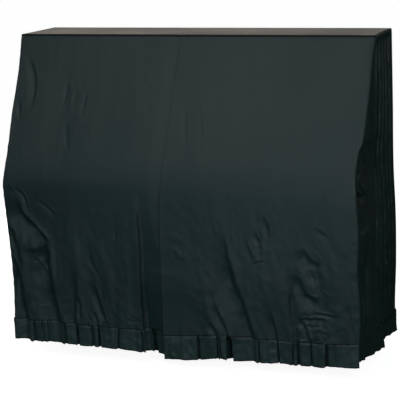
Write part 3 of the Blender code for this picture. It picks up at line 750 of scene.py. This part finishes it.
def spread(u, v, start, end, hem_table):
    """Place along a wall and drop, once the skirt's seam, which rises and falls, has drawn them."""
    def across_at(drop):
        first = start(drop)
        return first + (end(drop) - first) * u

    row = v * SEAM_DROP
    drop = np.maximum(row, TOP_START)
    for _ in range(3):
        seam = along(hem_table, across_at(drop), 1) - SEAM_SHORT
        drop = np.maximum(row + (seam - SEAM_DROP) * ease(drop, 0.85, SEAM_DROP), TOP_START)
    return across_at(drop), drop


def wall_rolls(v):
    """The top edge of a wall rolls in under the lid's seam."""
    return rolled(v * SEAM_DROP, 0.0080, 0.0080)


print("sheet maker ready")

# %% [markdown]
# The left front panel runs on behind the right one. Below the keyboard it folds back on itself,
# a hand's width from the opening, so the strip beside the opening lies deeper and stays dark.

# %% front left panel
# drop, where the fold's edge lies, how deep the strip is there, how far the cloth turns back under
FOLD_EDGE = (
    (0.600, -0.157, 0.0000, 0.000), (0.690, -0.157, 0.0030, 0.006), (0.757, -0.155, 0.0068, 0.010),
    (0.832, -0.154, 0.0105, 0.012), (0.955, -0.159, 0.0150, 0.014), (1.066, -0.161, 0.0230, 0.017),
    (1.130, -0.158, 0.0290, 0.020), (1.300, -0.154, 0.0310, 0.020),
)
FOLD_WIDE = 0.008        # how much of the grid the fold itself takes
# drop, how far the left panel passes behind the right one's edge
UNDER = ((0.000, 0.0030), (0.600, 0.0034), (0.760, 0.0045), (0.950, 0.0060), (1.180, 0.0070))


def tuck(x, drop):
    """Turned back under the fold: how far to the side, and how far behind the front's surface."""
    slit, edge, deep, back = along(SLIT, drop), *(along(FOLD_EDGE, drop, k) for k in (1, 2, 3))
    turn = np.clip((x - edge) / FOLD_WIDE, 0.0, 1.0)
    rise = np.clip((x - edge - FOLD_WIDE) / (slit - edge - FOLD_WIDE), 0.0, 1.0)
    lapped = np.maximum(ease(x, slit - 0.060, slit - 0.004), turn * np.minimum(deep / 0.012, 1.0))
    return -back * np.sin(math.pi * turn), along(UNDER, drop) * lapped + deep * (1 - rise) * turn


def left_place(u, v):
    x, drop = spread(
        u, v, lambda d: along(FRONT_CORNERS, d, 1), lambda d: along(SLIT, d) + TUCK, LEFT_HEM
    )
    aside, behind = tuck(x, drop)
    x = x + aside
    y = front_y(x, drop) + behind + wall_rolls(v)
    return x, y + rolled(u * LEFT_FLAT[0], 0.006, 0.0034), -drop


LEFT_FLAT = (0.765, 1.215)
FRONT_ROWS = lines(SEAM_DROP, (0.540, 0.0082), (REST, 0.0038))
LEFT_COLUMNS = lines(LEFT_FLAT[0], (0.685, 0.0044), (0.725, 0.0012), (REST, 0.0044))
cloth(
    "front_left_cloth", LEFT_COLUMNS, FRONT_ROWS, left_place, front_taffeta,
    "front_left", LEFT_FLAT, hem=panel_hem(*LEFT_FLAT),
)

# %% [markdown]
# The right front panel laps over the left. Its free edge is a turned hem, so it stands a little
# proud all the way down.

# %% front right panel
def right_place(u, v):
    x, drop = spread(
        u, v, lambda d: along(SLIT, d), lambda d: along(FRONT_CORNERS, d, 2), RIGHT_HEM
    )
    hem = np.exp(-(((x - along(SLIT, drop)) / 0.012) ** 2)) * ease(drop, 0.04, 0.40)
    y = front_y(x, drop) - 0.0008 * hem + wall_rolls(v)
    return x, y + rolled((1 - u) * RIGHT_FLAT[0], 0.006, 0.0034), -drop


RIGHT_FLAT = (0.810, 1.220)
cloth(
    "front_right_cloth", lines(RIGHT_FLAT[0], (REST, 0.0046)), FRONT_ROWS, right_place,
    front_taffeta, "front_right", RIGHT_FLAT, hem=panel_hem(*RIGHT_FLAT),
)

# %% [markdown]
# The ends are flat cloth near the front and gathered towards the back. The gathers are sewn in at
# the top, run all the way down, and are what makes the right end look ribbed. In front of them the
# cloth hangs slack from the keyboard's corner, so it is crumpled all over.

# %% ends
# points (along, drop), front wall, back wall, height, crispness, proud, fade in, fade out
GATHER = (0.036, 0.007, -0.0120, 0.5, 0.10, 0.0, 0.0)
SHORT_GATHER = (0.022, 0.007, -0.0075, 0.5, 0.10, 0.0)
END_DEPTH = 1.4          # the ends' folds are this many times as deep as their rows say
RIGHT_END_FOLDS = (
    (((-0.112, 0.00), (-0.116, 0.25), (-0.108, 0.55), (-0.116, 0.85), (-0.112, 1.19)), *GATHER),
    (((-0.056, 0.00), (-0.058, 0.35), (-0.060, 0.75), (-0.056, 1.19)), *GATHER),
    (((-0.002, 0.00), (-0.002, 0.40), (0.012, 0.80), (0.010, 1.19)), *GATHER),
    (((0.022, 0.00), (0.032, 0.30), (0.034, 0.62)), *SHORT_GATHER, 0.4),
    (((0.050, 0.00), (0.062, 0.40), (0.078, 0.90), (0.074, 1.19)), *GATHER),
    (((0.080, 0.00), (0.096, 0.50), (0.104, 0.90)), *SHORT_GATHER, 0.4),
    (((0.112, 0.00), (0.118, 0.50), (0.120, 1.19)), *GATHER),
    (((-0.086, 0.00), (-0.092, 0.30), (-0.088, 0.70)), *SHORT_GATHER, 0.5),
    (((-0.384, 0.716), (-0.310, 0.728), (-0.225, 0.700)), 0.022, 0.011, -0.0162, 0.5, 0.15, 0.25, 0.4),
    (((-0.400, 0.480), (-0.330, 0.510), (-0.240, 0.450)), 0.022, 0.013, -0.0121, 0.5, 0.15, 0.3, 0.5),
    (((-0.400, 0.560), (-0.330, 0.606), (-0.250, 0.590)), 0.022, 0.012, -0.0101, 0.5, 0.15, 0.3, 0.5),
    (((-0.245, 0.760), (-0.262, 0.960), (-0.262, 1.190)), 0.064, 0.014, -0.0121, 0.5, 0.15, 0.4, 0.0),
    (((-0.335, 0.860), (-0.318, 1.020), (-0.322, 1.190)), 0.048, 0.012, -0.0101, 0.5, 0.15, 0.4, 0.0),
    (((-0.190, 0.100), (-0.205, 0.300), (-0.180, 0.520)), 0.048, 0.012, -0.0071, 0.5, 0.15, 0.4, 0.4),
)
LEFT_END_FOLDS = (
    (((-0.060, 0.00), (-0.066, 0.40), (-0.082, 1.19)), *GATHER),
    (((0.012, 0.00), (0.018, 0.50), (0.014, 1.19)), *GATHER),
    (((0.048, 0.00), (0.056, 0.30), (0.052, 0.70)), *SHORT_GATHER, 0.5),
    (((0.092, 0.00), (0.100, 0.50), (0.096, 1.19)), *GATHER),
    (((-0.385, 0.640), (-0.290, 0.690), (-0.200, 0.700)), 0.022, 0.012, -0.0121, 0.5, 0.15, 0.3, 0.4),
    (((-0.265, 0.720), (-0.262, 0.940), (-0.250, 1.190)), 0.064, 0.016, -0.0121, 0.5, 0.15, 0.4, 0.0),
    (((-0.345, 0.860), (-0.330, 1.020), (-0.334, 1.190)), 0.045, 0.011, -0.0091, 0.5, 0.15, 0.4, 0.0),
    (((-0.200, 0.080), (-0.215, 0.300), (-0.240, 0.560)), 0.054, 0.014, -0.0071, 0.5, 0.15, 0.4, 0.4),
)
# held point along and drop, first and last angle, how many, length, depth, seed
END_FANS = (
    (-0.412, 0.500, 55, 150, 8, 0.170, 0.0070, 121),
    (-0.405, 0.660, 65, 130, 6, 0.120, 0.0060, 122),
    (-0.385, 0.860, 60, 160, 6, 0.110, 0.0050, 123),
    (-0.290, 1.182, -35, 35, 5, 0.100, 0.0050, 124),
    (-0.170, 1.184, -30, 30, 4, 0.090, 0.0050, 125),
    (-0.110, 0.000, 150, 215, 5, 0.110, 0.0040, 126),
)
for row in END_FANS:
    RIGHT_END_FOLDS += fan(*row)
    LEFT_END_FOLDS += fan(*row[:-1], row[-1] + 10)
# middle along and drop, reach each way, wrinkle size, height, stretch down the sheet
END_CRUMPLES = (
    (-0.330, 0.560, 0.120, 0.160, 0.060, 0.0034, 0.9),
    (-0.300, 0.820, 0.150, 0.200, 0.064, 0.0030, 0.7),
    (-0.290, 1.060, 0.160, 0.180, 0.060, 0.0030, 0.7),
    (-0.200, 0.300, 0.080, 0.200, 0.050, 0.0020, 0.5),
)


def end_surface(side, y, drop):
    """x of an end wall; side is +1 for the right end."""
    column = 2 if side > 0 else 1
    y_front = along(FRONT_PROFILE, drop)
    share = np.clip((y - y_front) / (Y_BACK - y_front), 0.0, 1.0)
    x_front, x_back = along(FRONT_CORNERS, drop, column), along(BACK_CORNERS, drop, column)
    at = np.minimum(drop, SEAM_DROP)
    calm = ease(y - y_front, 0.0, 0.022) * ease(Y_BACK - y, 0.0, 0.016) * ease(drop, 0.0, 0.05)
    calm = calm * (1 - 0.70 * ease(drop, 1.04, SEAM_DROP))
    lift = END_DEPTH * fold_heights(RIGHT_END_FOLDS if side > 0 else LEFT_END_FOLDS, y, at)
    lift += crumpled(END_CRUMPLES, y, at) * (1.0 if side > 0 else 0.6)
    seed = 40 if side > 0 else 50
    gathered = ease(y, -0.14, -0.09)
    lift += gathered * 0.0008 * ripple(y, at * 0.08, 0.030, seed + 5)
    lift += 0.0018 * ripple(y, at * 0.35, 0.09, seed) + 0.0009 * ripple(y, at * 0.4, 0.03, seed + 1)
    edge = np.exp(-(y - y_front) / 0.022) * 0.0022 * ripple(y * 0.2, at, 0.026, seed + 2)
    edge *= ease(drop, 0.02, 0.08)
    tight = np.exp(-(SEAM_DROP - at) / 0.030) * 0.0012 * ripple(y, at * 0.2, 0.014, seed + 3)
    return x_front + (x_back - x_front) * share + side * (lift * calm + edge + tight - 0.0006)


def end_start(side, drop):
    """y where an end begins, just behind the front's rolled edge."""
    return along(FRONT_PROFILE, drop) + 0.0045 + along(CORNER_TURN, drop, 2 if side > 0 else 1)


def end_place(side, hem_table):
    """The placing function of one end."""
    def place(u, v):
        y, drop = spread(
            u, v, lambda d: end_start(side, d), lambda d: Y_BACK - CORNER_GAP, hem_table
        )
        seam = rolled(u * END_FLAT[0], 0.0085, 0.0050)
        return end_surface(side, y, drop) - side * (wall_rolls(v) + seam), y, -drop

    return place


END_FLAT = (0.620, 1.200)
END_ROWS = lines(SEAM_DROP, (REST, 0.0052))
cloth(
    "side_right_cloth", lines(END_FLAT[0], (REST, 0.0042)), END_ROWS, end_place(1, RIGHT_END_HEM),
    shaded_end_taffeta, "side_right", END_FLAT, hem=panel_hem(*END_FLAT, 0),
)
cloth(
    "side_left_cloth", lines(END_FLAT[0], (REST, 0.0056)), END_ROWS, end_place(-1, LEFT_END_HEM),
    shaded_end_taffeta, "side_left", END_FLAT, flip=True,
    hem=panel_hem(*END_FLAT, 0),
)

# %% [markdown]
# The back stands against a wall, so it is the plainest piece: one wide panel with a few slow waves,
# and small wrinkles above each of the skirt's pleats, where the seam gathers it.

# %% back panel
# points (across, drop), left wall, right wall, height, crispness, proud, fade in, fade out
BACK_FOLDS = (
    (((-0.520, 0.20), (-0.505, 0.70), (-0.500, 1.19)), 0.090, 0.060, 0.008, 0.0, 0.0, 0.4, 0.0),
    (((-0.260, 0.10), (-0.290, 0.60), (-0.300, 1.19)), 0.090, 0.050, -0.010, 0.2, 0.2, 0.3, 0.0),
    (((0.060, 0.30), (0.050, 0.70), (0.040, 1.19)), 0.080, 0.060, 0.008, 0.0, 0.0, 0.4, 0.0),
    (((0.360, 0.15), (0.385, 0.70), (0.400, 1.19)), 0.100, 0.055, -0.012, 0.2, 0.2, 0.3, 0.0),
    (((0.600, 0.30), (0.606, 0.70), (0.610, 1.19)), 0.070, 0.050, 0.007, 0.0, 0.0, 0.4, 0.0),
    (((-0.700, 0.50), (-0.672, 0.80), (-0.660, 1.19)), 0.040, 0.024, -0.008, 0.2, 0.2, 0.4, 0.0),
    (((0.190, 0.80), (0.180, 1.00), (0.170, 1.19)), 0.034, 0.020, -0.007, 0.2, 0.2, 0.4, 0.0),
    (((-0.110, 0.86), (-0.104, 1.02), (-0.120, 1.19)), 0.030, 0.018, -0.007, 0.2, 0.2, 0.4, 0.0),
    (((0.700, 0.42), (0.690, 0.80), (0.700, 1.19)), 0.034, 0.022, -0.008, 0.2, 0.2, 0.4, 0.0),
)
for number, held in enumerate((-0.590, -0.370, -0.130, 0.110, 0.330, 0.560)):
    BACK_FOLDS += fan(held, 1.182, -30, 30, 4, 0.090, 0.0040, 140 + number)
BACK_CRUMPLES = (
    (-0.690, 0.700, 0.060, 0.350, 0.040, 0.0026, 0.5),
    (0.700, 0.700, 0.060, 0.350, 0.040, 0.0026, 0.5),
    (0.100, 1.100, 0.400, 0.080, 0.034, 0.0020, 0.5),
)


def back_surface(x, drop):
    """y of the back's cloth."""
    left, right = along(BACK_CORNERS, drop, 1), along(BACK_CORNERS, drop, 2)
    at = np.minimum(drop, SEAM_DROP)
    calm = ease(x - left, 0.0, 0.03) * ease(right - x, 0.0, 0.03) * ease(drop, 0.0, 0.08)
    calm = calm * (1 - 0.4 * ease(drop, 1.06, SEAM_DROP))
    lift = fold_heights(BACK_FOLDS, x, at) + crumpled(BACK_CRUMPLES, x, at)
    lift += 0.0024 * ripple(x, at * 0.3, 0.12, 60) + 0.0008 * ripple(x, at, 0.04, 61)
    tight = np.exp(-(SEAM_DROP - at) / 0.030) * 0.0012 * ripple(x, at * 0.2, 0.014, 62)
    return Y_BACK + lift * calm + tight


def back_place(u, v):
    x, drop = spread(
        u, v, lambda d: along(BACK_CORNERS, d, 1) + CORNER_GAP,
        lambda d: along(BACK_CORNERS, d, 2) - CORNER_GAP, BACK_HEM,
    )
    return x, back_surface(x, drop) - wall_rolls(v), -drop


BACK_FLAT = (1.545, 1.200)
cloth(
    "back_cloth", lines(BACK_FLAT[0], (REST, 0.0092)), lines(SEAM_DROP, (REST, 0.0092)), back_place,
    shaded_end_taffeta, "back_panel", BACK_FLAT, flip=True, hem=panel_hem(*BACK_FLAT),
)

# %% [markdown]
# The top is pulled flat over the lid. Its border rolls down over the walls as a narrow lip.
# The lip and the top of each wall are drawn nearly black, a painted seam shade, and with the
# little shade under the lip this makes the thin dark line that shows where the seam is.

# %% top panel
TOP_FLAT = (1.525, 0.315)


def top_edge(u, v):
    """Distance to the nearest edge of the top."""
    return np.minimum(np.minimum(u, 1 - u) * TOP_FLAT[0], np.minimum(v, 1 - v) * TOP_FLAT[1])


def top_place(u, v):
    row = 1 - v
    front, back = FRONT_CORNERS[0], BACK_CORNERS[0]
    bow = 4 * row * (1 - row)
    left = back[1] + (front[1] - back[1]) * row + 0.002 * bow
    right = back[2] + (front[2] - back[2]) * row - 0.006 * bow
    x = left + (right - left) * u
    y = Y_BACK - row * 2 * Y_BACK
    edge = top_edge(u, v)
    slack = 0.0007 * ripple(x, y, 0.11, 70) + 0.0004 * ripple(x * 0.4, y, 0.03, 71)
    z = 0.0019 + slack * ease(edge, 0.0, 0.03)
    z = z + 0.0009 * np.exp(-(((edge - 0.009) / 0.005) ** 2)) - rolled(edge, 0.0050, 0.0046)
    return x, y, z


cloth(
    "top_cloth", lines(TOP_FLAT[0], (REST, 0.0062)), lines(TOP_FLAT[1], (REST, 0.0050)), top_place,
    sheen_painted_top_taffeta, "top_panel", TOP_FLAT, flip=True,
    hem=lambda u, v: (top_edge(u, v), (u + v) * TOP_FLAT[0]),
)

# %% [markdown]
# The skirt is knife-pleated: the cloth runs to an edge, turns back under itself, turns again and
# goes on. Its top edge goes up behind the panel, where it is sewn, and the pleats loosen downwards.

# %% pleats
# edge, lap, space between layers, groove beside the edge, slant at the hem, swing out at the hem
FRONT_LEFT_PLEATS = (
    (-0.659, 0.010, 0.0024, 0.006, 0.000, 0.003),
    (-0.624, 0.007, 0.0018, 0.003, 0.001, -0.003),
    (-0.600, 0.008, 0.0018, 0.004, 0.000, 0.002),
    (-0.520, 0.012, 0.0026, 0.007, 0.001, -0.002),
    (-0.462, 0.012, 0.0026, 0.007, -0.001, 0.003),
    (-0.396, 0.009, 0.0026, 0.005, 0.000, -0.003),
    (-0.367, 0.009, 0.0028, 0.006, 0.000, 0.001),
    (-0.272, 0.011, 0.0022, 0.003, -0.011, 0.003),
    (-0.172, 0.009, 0.0024, 0.005, 0.000, -0.002),
    (-0.136, 0.010, 0.0040, 0.016, 0.004, -0.004),
)
FRONT_RIGHT_PLEATS = (
    (0.072, 0.012, 0.0026, 0.007, 0.001, 0.003),
    (0.156, 0.009, 0.0028, 0.007, 0.000, -0.003),
    (0.166, 0.006, 0.0020, 0.003, 0.003, 0.001),
    (0.197, 0.010, 0.0040, 0.022, 0.000, 0.003),
    (0.331, 0.011, 0.0024, 0.005, 0.000, -0.002),
    (0.409, 0.010, 0.0022, 0.004, 0.004, 0.003),
    (0.474, 0.007, 0.0022, 0.004, -0.006, -0.003),
    (0.489, 0.007, 0.0022, 0.007, 0.002, 0.002),
    (0.543, 0.010, 0.0022, 0.003, 0.001, -0.002),
    (0.606, 0.012, 0.0030, 0.009, 0.000, 0.003),
)
END_PLEAT = (0.012, 0.0026, 0.006, 0.000)
BACK_PLEAT = (0.012, 0.0026, 0.005, 0.000)
RIGHT_END_PLEATS = (
    (-0.290, *END_PLEAT, 0.002), (-0.170, *END_PLEAT, 0.001),
    (-0.036, 0.020, 0.0080, 0.006, 0.000, 0.003),
)
LEFT_END_PLEATS = (
    (-0.280, *END_PLEAT, 0.002), (-0.150, *END_PLEAT, -0.001), (-0.020, *END_PLEAT, 0.002),
)
BACK_PLEATS = (
    (-0.590, *BACK_PLEAT, 0.002), (-0.370, *BACK_PLEAT, -0.001), (-0.130, *BACK_PLEAT, 0.002),
    (0.110, *BACK_PLEAT, 0.001), (0.330, *BACK_PLEAT, -0.001), (0.560, *BACK_PLEAT, 0.002),
)
PLEAT_STEP = 0.0036      # metres between points along the strip
SEAM_TUCK = 0.006        # how far the strip's top edge goes up behind the panel
SEAM_BEHIND = 0.0034     # and how far behind it
SKIRT_OFF = 0.0006       # how far behind the wall's surface the strip hangs below its seam
SEWN_FLAT = 0.60         # pleats are pressed to this share of their depth in the seam,
OPENED = 0.55            # spring open by this share just below it,
LOOSENED = 0.80          # and by this much more at the hem
UNDER_DROP = 0.16        # the deeper a layer lies, the lower it hangs, by this share
SWING = 1.6              # how many times its row's swing a pleat's edge stands out


def pleat_path(start, end, pleats, first_depth=0.0):
    """Points along the strip: place, depth, and slant and swing at the hem."""
    path = [(start, first_depth, 0.0, 0.0)]

    def run_to(place, depth, slant, swing):
        first = path[-1]
        last = (place, depth, slant, swing)
        pieces = max(1, math.ceil(math.hypot(place - first[0], depth - first[1]) / PLEAT_STEP))
        for k in range(1, pieces + 1):
            path.append(tuple(a + (b - a) * k / pieces for a, b in zip(first, last)))

    def turn_back(place, depth, pitch, way, slant, swing):
        for k in range(1, 5):
            angle = math.pi * k / 4
            reach, deep = math.sin(angle), 1 - math.cos(angle)
            path.append((place + way * pitch / 2 * reach, depth + pitch / 2 * deep, slant, swing))

    if first_depth:
        run_to(start + 0.008, 0.0, 0.0, 0.0)
    for edge, lap, pitch, groove, slant, swing in pleats:
        run_to(edge - pitch / 2, 0.0, slant, swing)
        turn_back(edge - pitch / 2, 0.0, pitch, 1, slant, swing)
        run_to(edge - lap, pitch, slant, swing * 0.3)
        turn_back(edge - lap, pitch, pitch, -1, slant, swing * 0.3)
        run_to(edge + 0.3 * groove, 2 * pitch + groove, slant, -0.001)
        run_to(edge + 0.002 + groove, 2 * pitch, slant, -0.001)
    run_to(end, 0.0, 0.0, 0.002)
    return np.array(path)


def skirt(name, node, path, surface, hem_table, material, deep, flip=False, row_step=0.0042):
    """A pleated strip; surface(place, drop, depth) puts a point in space."""
    columns = len(path) - 1
    used = np.concatenate([[0.0], np.cumsum(np.hypot(*np.diff(path[:, :2], axis=0).T))])
    flat = (float(used[-1]), deep + SEAM_TUCK)

    def place(u, v):
        k = np.rint(u * columns).astype(int)
        at, depth, slant, swing = path[k].T
        seam = along(hem_table, at, 1)
        hem = along(hem_table, at, 2) + 0.0014 * ripple(at, at * 0, 0.035, 80)
        low = v * (hem - seam + SEAM_TUCK) - SEAM_TUCK
        fallen = np.clip(low / (hem - seam), 0.0, 1.0)
        opened = SEWN_FLAT + OPENED * ease(fallen, 0.0, 0.25)
        depth = depth * opened * (1 + LOOSENED * fallen)
        depth = depth + SKIRT_OFF + (SEAM_BEHIND - SKIRT_OFF) * ease(low, 0.0075, 0.0005)
        depth = depth - SWING * swing * fallen**1.5
        low = low + UNDER_DROP * depth * fallen
        wrinkle = ripple(used[k], low * 0.6, 0.020, 81) * 0.0016
        wrinkle = wrinkle + ripple(used[k], low * 0.15, 0.045, 82) * 0.0030 * fallen
        wrinkle = wrinkle + crumple(used[k], low * 0.7, 0.030, 83) * 0.0016 * ease(fallen, 0.0, 0.3)
        return surface(at + slant * fallen, seam + low, depth - wrinkle * ease(low, 0.0, 0.012))

    def edges(u, v):
        k = np.rint(u * columns).astype(int)
        return (1 - v) * deep, used[k]

    print(name, "uses", round(flat[0], 3), "m of cloth")
    cloth(
        name, np.linspace(0, 1, columns + 1), lines(flat[1], (REST, row_step)), place, material,
        node, flat, flip=flip, hem=edges,
    )


def front_skirt(tucked):
    """The front's surface for a strip; the left one follows its panel's turned-back fold."""
    def surface(x, drop, depth):
        aside, behind = tuck(x, drop) if tucked else (0.0, 0.0)
        x = x + aside
        return x, front_y(x, drop) + depth + behind, -drop

    return surface


def end_skirt(side):
    def surface(y, drop, depth):
        return end_surface(side, y, drop) - side * depth, y, -drop

    return surface


def back_skirt(x, drop, depth):
    return x, back_surface(x, drop) - depth, -drop


LOW = 1.24               # drop at which a strip's ends meet the corners
low_left, low_right = along(FRONT_CORNERS, LOW, 1), along(FRONT_CORNERS, LOW, 2)
low_slit = along(SLIT, LOW)
skirt(
    "skirt_front_left_cloth", "skirt_front_left",
    pleat_path(low_left, low_slit + TUCK, FRONT_LEFT_PLEATS),
    front_skirt(True), LEFT_HEM, skirt_taffeta, 0.095,
)
skirt(
    "skirt_front_right_cloth", "skirt_front_right",
    pleat_path(low_slit, low_right, FRONT_RIGHT_PLEATS),
    front_skirt(False), RIGHT_HEM, skirt_taffeta, 0.095,
)
skirt(
    "skirt_right_cloth", "skirt_right",
    pleat_path(end_start(1, LOW) - 0.004, Y_BACK - 0.002, RIGHT_END_PLEATS, 0.009),
    end_skirt(1), RIGHT_END_HEM, shaded_end_taffeta, 0.088,
)
skirt(
    "skirt_left_cloth", "skirt_left",
    pleat_path(end_start(-1, LOW) - 0.004, Y_BACK - 0.002, LEFT_END_PLEATS, 0.009),
    end_skirt(-1), LEFT_END_HEM, shaded_end_taffeta, 0.088, flip=True,
)
skirt(
    "skirt_back_cloth", "skirt_back",
    pleat_path(
        along(BACK_CORNERS, LOW, 1) + 0.001, along(BACK_CORNERS, LOW, 2) - 0.001, BACK_PLEATS
    ),
    back_skirt, BACK_HEM, shaded_end_taffeta, 0.092, flip=True, row_step=0.008,
)

# %% [markdown]
# Last, the sizes: how many triangles each piece of cloth is drawn with, and the most in one piece.

# %% sizes and finish
triangles = {}
for piece in scene.objects:
    if piece.name.endswith("_cloth"):
        shown = piece.evaluated_get(bpy.context.evaluated_depsgraph_get()).data
        triangles[piece.name] = sum(len(face.vertices) - 2 for face in shown.polygons)
print(sum(triangles.values()), "triangles in all, at most", max(triangles.values()), "in a piece")
